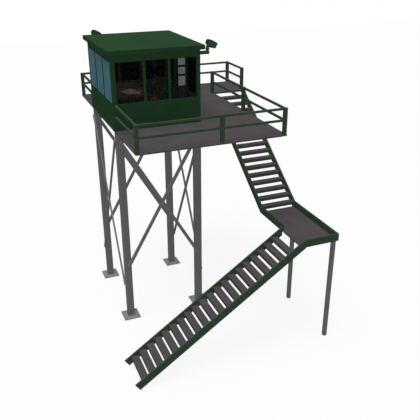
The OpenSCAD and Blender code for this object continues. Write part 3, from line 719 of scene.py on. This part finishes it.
def lampDetails(which):
    body = which + "_lamp"
    pivot = pivots[body]
    ahead, side, over = headAxes
    lensLow, lensHigh = headBox("lamp_lens_" + which, pivot)
    high = headBox("lamp_head_" + which, pivot)[1]
    half, middle = (lensHigh - lensLow)/2, (lensLow + lensHigh)/2
    face = pivot + ahead*high[0] + side*middle[1] + over*middle[2]
    wide, proud, lip = lamp["bezelWide"], lamp["bezelHigh"], lamp["bezelLip"]
    section = [(-lip, -lip), (wide, -lip), (wide, proud/2), (wide - 0.004, proud), (0.001, proud),
               (-lip, proud/2)]
    bezel = framed(face, side, over, half[1], half[2], section)
    corners = [face + ahead*proud + side*a*(half[1] + wide/2) + over*b*(half[2] + wide/2)
               for a in (-1, 1) for b in (-1, 1)]
    r = lamp["screw"]
    screws = turned([(r, -0.001), (r, r*0.2), (r*0.75, r*0.55), (r*0.3, r*0.7)], corners, ahead, 12)
    long, tall = lamp["finLong"], lamp["finHigh"]
    outline = [(-long, -0.002), (0, -0.002), (0, tall*0.3), (-tall, tall), (tall - long, tall),
               (-long, tall*0.3)]
    root = pivot + ahead*(high[0] - lamp["finFrom"]) + over*high[2]
    steps = (np.arange(lamp["fins"]) - (lamp["fins"] - 1)/2)*lamp["finApart"]
    fins = plates(outline, root + steps[:, None]*side, ahead, over, lamp["finThick"])
    addPiece("lamp_trim_" + which, joined([bezel, fins]), paint["head"], body)
    pin, pinTop = lamp["pinAcross"]/2, lamp["pinHigh"]
    pinProfile = [(pin, -0.001), (pin, pinTop - 0.003), (pin*0.86, pinTop)]
    heads = [turned(pinProfile, pivot + side*way*lamp["pinOut"], side*way, 6) for way in (-1, 1)]
    addPiece("lamp_bolts_" + which, joined([screws] + heads), fitting["bolt"], body)


def cableGland(which):
    place = pivots[which + "_lamp"] + lamp["glandAt"]
    r, long = lamp["gland"], lamp["glandLong"]
    out = -np.eye(3)[1]
    nut = [(r, -0.001), (r, long*0.28), (r*0.94, long*0.34)]
    dome = [(r*0.82, long*0.3), (r*0.82, long*0.62), (r*0.72, long*0.85), (r*0.45, long*0.97), (r*0.2, long)]
    addPiece("cable_gland_" + which, joined([turned(nut, place, out, 6), turned(dome, place, out, 20)]),
             fitting["nylon"], "tower")


for which in ("front", "back"):
    lampDetails(which)
    cableGland(which)
print("floodlight details made")


# Papers: two sheets on the table, one across the other, with two corners curled up a little, and a pencil on
# them. Height over the table = lift + curl*(nearness to the far corner squared + half that to the near one
# squared). Nearness runs from 0 where the shares of width and depth add up to the curl's start, to 1 at the
# corner.

sheets = {"size": (0.53, 0.35), "thick": 0.0008, "curl": 0.012, "farFrom": 1.1, "nearFrom": 0.8,
          "steps": (33, 23),
          # from the table's edges at high x and low y, the turn in degrees, and the lift
          "places": ((-0.739, 0.712, 30.0, 0.0008), (-0.846, 0.581, -20.0, 0.0030))}
pencil = {"place": (-0.453, 0.842), "turnDeg": 66.0, "long": 0.150, "radius": 0.0042, "lift": 0.0085,
          "cone": 0.020, "lead": 0.003}
tableLow, tableHigh = boxOf("table_top")


def onTable(fromX, fromY, lift):
    return np.array((tableHigh[0] + fromX, tableLow[1] + fromY, tableHigh[2] + lift))


def paperSheet(fromX, fromY, turnDeg, lift):
    turn = math.radians(turnDeg)
    across = np.array((math.cos(turn), math.sin(turn), 0))
    along = np.array((-math.sin(turn), math.cos(turn), 0))
    u, v = np.meshgrid(*(np.linspace(0, 1, steps) for steps in sheets["steps"]), indexing="ij")
    farFrom, nearFrom = sheets["farFrom"], sheets["nearFrom"]
    far = np.clip((u + v - farFrom)/(2 - farFrom), 0, 1)
    near = np.clip((nearFrom - u - v)/nearFrom, 0, 1)
    height = lift + sheets["curl"]*(far**2 + 0.5*near**2)
    wide, deep = sheets["size"]
    flat = onTable(fromX, fromY, 0) + (u*wide)[..., None]*across + (v*deep)[..., None]*along
    points = flat + height[..., None]*upward
    rows, columns = u.shape
    row, column = np.meshgrid(np.arange(rows - 1), np.arange(columns - 1), indexing="ij")
    first = (row*columns + column).ravel()
    return points.reshape(-1, 3), [np.stack([first, first + columns, first + columns + 1, first + 1], -1)]


papers = addPiece("paper_sheets", joined([paperSheet(*place) for place in sheets["places"]]), paper, "tower")
thickness = papers.modifiers.new("paper thickness", "SOLIDIFY")
thickness.thickness = sheets["thick"]
thickness.offset = 1.0
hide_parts("papers")


def woodenPencil():  # six-sided barrel, a cut cone and the lead's point
    turn, r, long = math.radians(pencil["turnDeg"]), pencil["radius"], pencil["long"]
    way = np.array((math.cos(turn), math.sin(turn), 0))
    cone, lead = long - pencil["cone"], long - pencil["lead"]
    profile = [(r*0.9, 0), (r, 0.002), (r, cone), (r*0.25, lead), (r*0.05, long)]
    return turned(profile, onTable(*pencil["place"], pencil["lift"]), way, 6)


addPiece("pencil", woodenPencil(), fitting["ochre"], "tower")
print("papers laid")


# Studio: the floor, the light and the camera. floorShare is how much of the floor's look is plain white.

studio = {"floorHalf": 70.0, "floorTone": 0.97, "floorShare": 0.78, "floorBounce": 0.30, "worldLevel": 0.14,
          # each sun: level, direction towards it, width in degrees, whether it casts shadows
          "suns": {"key": (0.25, (-0.25, -0.12, 0.96), 34.0, True),
                   "top": (0.61, (-0.30, -0.15, 0.94), 20.0, False),
                   "front": (0.16, (-0.30, -0.95, -0.05), 20.0, False),
                   "back": (0.09, (0.70, 0.70, -0.05), 20.0, False)}}


def straightLook(tree):  # 1 for camera, mirror and glass rays, 0 for the light that falls on things
    ray = addNode(tree, "LightPath")
    mirrored = addNode(tree, "Math", {"operation": "MAXIMUM"},
                       {0: (ray, "Is Camera Ray"), 1: (ray, "Is Glossy Ray")})
    return addNode(tree, "Math", {"operation": "MAXIMUM"},
                   {0: (mirrored, 0), 1: (ray, "Is Transmission Ray")})


def plainFloor():  # pale floor: looked at, it is mostly plain white and keeps a light shadow
    half = studio["floorHalf"]
    corners = [(-half, -half, 0), (half, -half, 0), (half, half, 0), (-half, half, 0)]
    mesh = bpy.data.meshes.new("floor")
    mesh.from_pydata(corners, [], [(0, 1, 2, 3)])
    floor = bpy.data.objects.new("floor", mesh)
    bpy.context.scene.collection.objects.link(floor)
    material, tree = newMaterial("White floor")
    seen = straightLook(tree)
    share = addNode(tree, "Math", {"operation": "MULTIPLY"}, {0: (seen, 0), 1: studio["floorShare"]})
    dim, pale = studio["floorBounce"], studio["floorTone"]
    tone = addNode(tree, "Mix", {"data_type": "RGBA"},
                   {"Factor": (seen, 0), "A": (dim, dim, dim, 1), "B": (pale, pale, pale, 1)})
    white = addNode(tree, "Emission", inputs={"Color": (1, 1, 1, 1), "Strength": 1.0})
    coat = addNode(tree, "BsdfDiffuse", inputs={"Color": (tone, "Result")})
    both = addNode(tree, "MixShader", inputs={0: (share, 0), 1: (coat, 0), 2: (white, 0)})
    closeMaterial(tree, both)
    mesh.materials.append(material)


def plainWorld():  # even light from all round; straight looks, mirrors and glass meet plain white
    world = bpy.data.worlds.new("studio")
    bpy.context.scene.world = world
    world.use_nodes = True
    tree = world.node_tree
    tree.nodes.clear()
    seen = straightLook(tree)
    level = addNode(tree, "Mix", {"data_type": "FLOAT"},
                    {"Factor": (seen, 0), "A": studio["worldLevel"], "B": 1.0})
    light = addNode(tree, "Background", inputs={"Color": (1, 1, 1, 1), "Strength": (level, 0)})
    addNode(tree, "OutputWorld", inputs={"Surface": (light, 0)})


def studioSuns():
    for name, (level, towards, width, casts) in studio["suns"].items():
        light = bpy.data.lights.new(name, "SUN")
        light.energy = level*math.pi
        light.angle = math.radians(width)
        light.use_shadow = casts
        sun = bpy.data.objects.new(name, light)
        sun.rotation_euler = Vector(towards).to_track_quat("Z", "Y").to_euler()
        bpy.context.scene.collection.objects.link(sun)


view = {"place": (-4.504, -19.105, 13.565), "azimuthDeg": 22.456, "downDeg": 24.868, "lensMm": 50.23,
        "sensorMm": 36.0, "clipEnd": 400.0}


def standCamera():
    eye = bpy.data.cameras.new("camera")
    eye.lens = view["lensMm"]
    eye.sensor_width = view["sensorMm"]
    eye.clip_end = view["clipEnd"]
    stand = bpy.data.objects.new("camera", eye)
    azimuth, down = math.radians(view["azimuthDeg"]), math.radians(view["downDeg"])
    forward = Vector((math.sin(azimuth)*math.cos(down), math.cos(azimuth)*math.cos(down), -math.sin(down)))
    right = Vector((math.cos(azimuth), -math.sin(azimuth), 0))
    turn = Matrix((right, right.cross(forward), -forward)).transposed().to_4x4()
    stand.matrix_world = Matrix.Translation(view["place"]) @ turn
    bpy.context.scene.collection.objects.link(stand)
    bpy.context.scene.camera = stand


plainFloor()
plainWorld()
studioSuns()
standCamera()
bpy.context.scene.view_settings.view_transform = "Standard"
print("studio ready")
